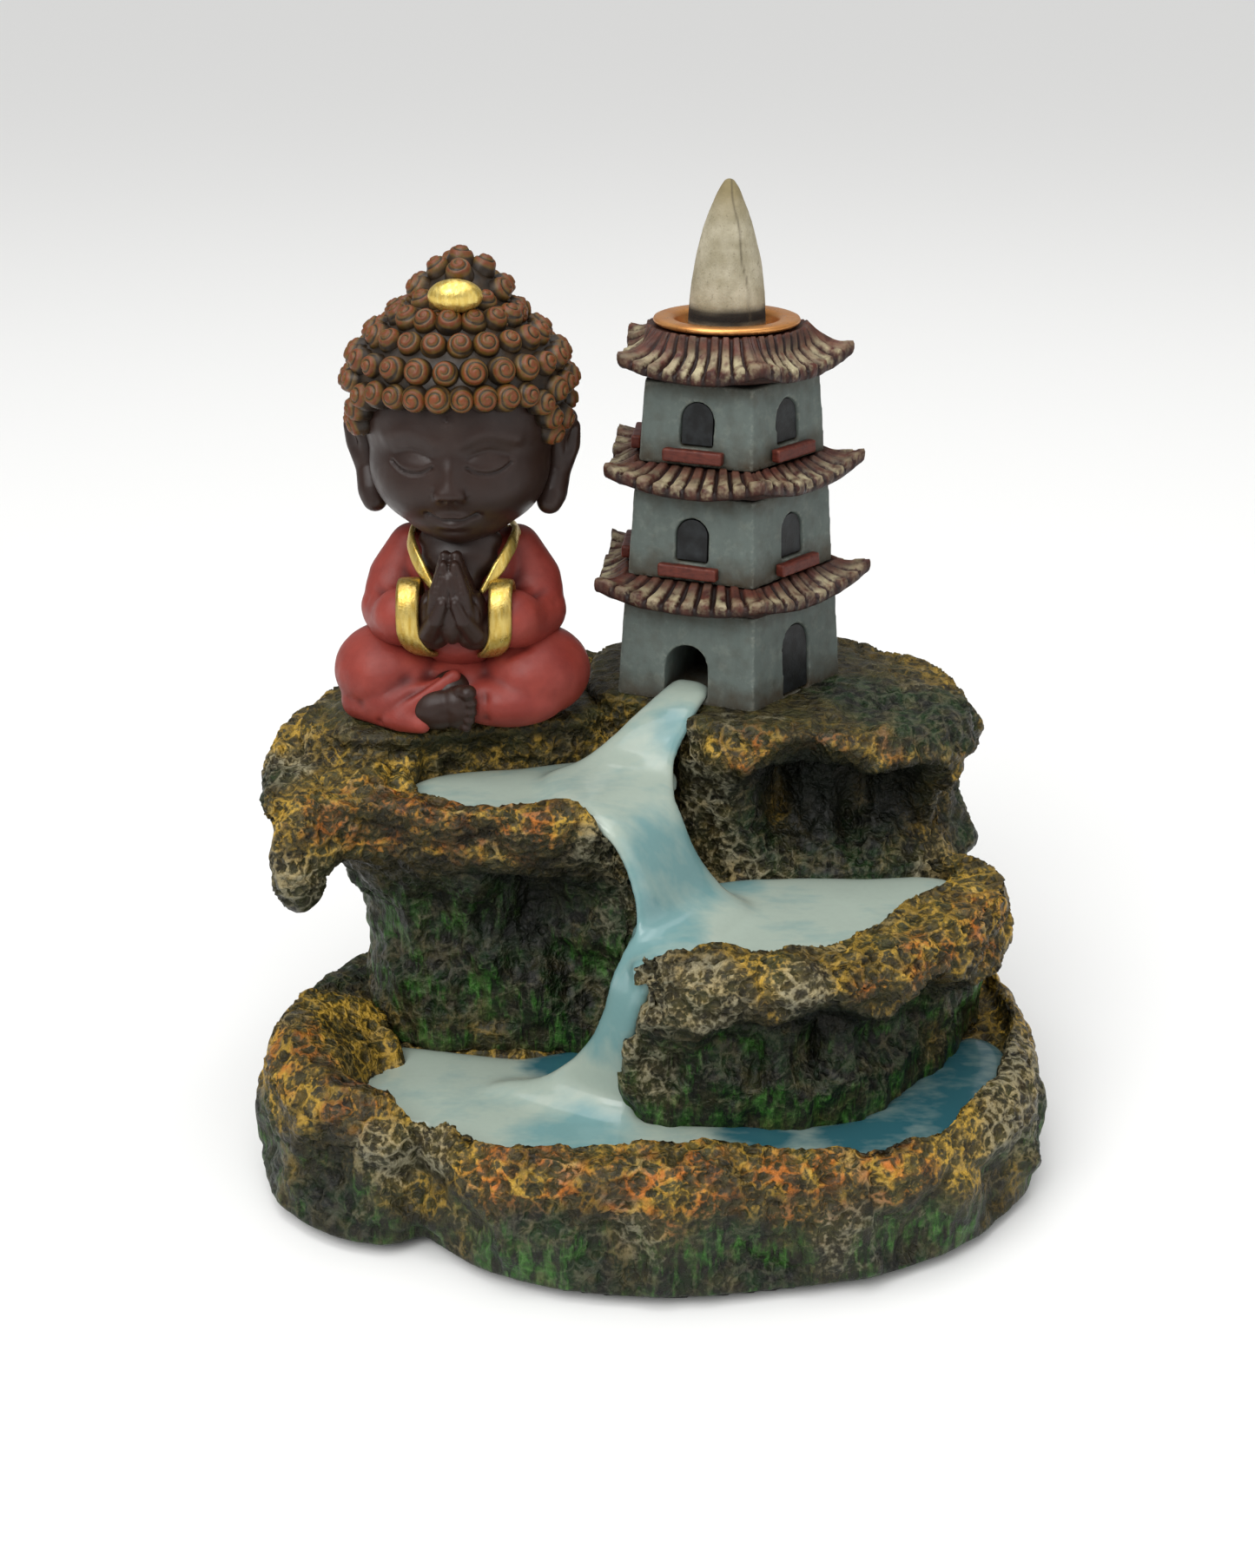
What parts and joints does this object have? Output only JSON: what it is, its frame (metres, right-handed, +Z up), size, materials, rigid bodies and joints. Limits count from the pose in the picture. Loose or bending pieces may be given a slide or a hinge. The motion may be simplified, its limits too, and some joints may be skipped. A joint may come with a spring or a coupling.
{
  "type": "backflow incense burner",
  "caption": "Backflow incense burner: rock terraces with poured resin pools, a pagoda holding a metal cup and an incense cone, and a seated child monk figure.",
  "frame": {"origin": "middle of the base, at the height of the surface it stands on", "axes": "+Z up, -Y towards the viewer of the front, +X to that viewer's right"},
  "size_m": [0.1387, 0.11, 0.1634],
  "materials": {
    "stone": "matte",
    "felt": "matte",
    "water": "gloss",
    "wall": "matte",
    "tile": "matte",
    "sill": "satin",
    "pane": "satin",
    "copper": "satin",
    "incense": "matte",
    "skin": "satin",
    "hair": "satin",
    "robe": "satin",
    "gold": "satin"
  },
  "bodies": {
    "base": {"bare_foot": "skin", "base_felt": "felt", "collar_trim": "gold", "crossed_legs": "robe", "door_pane": "pane", "head": "skin", "left_boulder": "stone", "left_crag": "stone", "left_cuff": "gold", "left_ear": "skin", "left_sleeve": "robe", "lower_basin": "stone", "lower_cascade": "water", "lower_pool": "water", "middle_crag": "stone", "middle_pool": "water", "neck": "skin", "praying_hands": "skin", "right_crag": "stone", "right_cuff": "gold", "right_ear": "skin", "right_sleeve": "robe", "roof_1": "tile", "roof_2": "tile", "roof_3": "tile", "scalp_curls": "hair", "sill_2_1": "sill", "sill_2_2": "sill", "sill_2_3": "sill", "sill_2_4": "sill", "sill_2_5": "sill", "sill_3_1": "sill", "sill_3_2": "sill", "sill_3_3": "sill", "sill_3_4": "sill", "sill_3_5": "sill", "spillway": "water", "storey_1": "wall", "storey_2": "wall", "storey_3": "wall", "topknot_curls": "hair", "topknot_jewel": "gold", "torso_robe": "robe", "upper_cascade": "water", "upper_pool": "water", "window_pane_2_1": "pane", "window_pane_2_2": "pane", "window_pane_2_3": "pane", "window_pane_2_4": "pane", "window_pane_2_5": "pane", "window_pane_3_1": "pane", "window_pane_3_2": "pane", "window_pane_3_3": "pane", "window_pane_3_4": "pane", "window_pane_3_5": "pane"},
    "cup": {"cup_ring": "copper"},
    "cone": {"incense_cone": "incense"}
  },
  "joints": [
    {"name": "cup_lift", "type": "slide", "parent": "base", "child": "cup", "axis": [0, 0, 1], "range_m": [0, 0.03]},
    {"name": "cone_lift", "type": "slide", "parent": "cup", "child": "cone", "axis": [0, 0, 1], "range_m": [0, 0.03]}
  ]
}
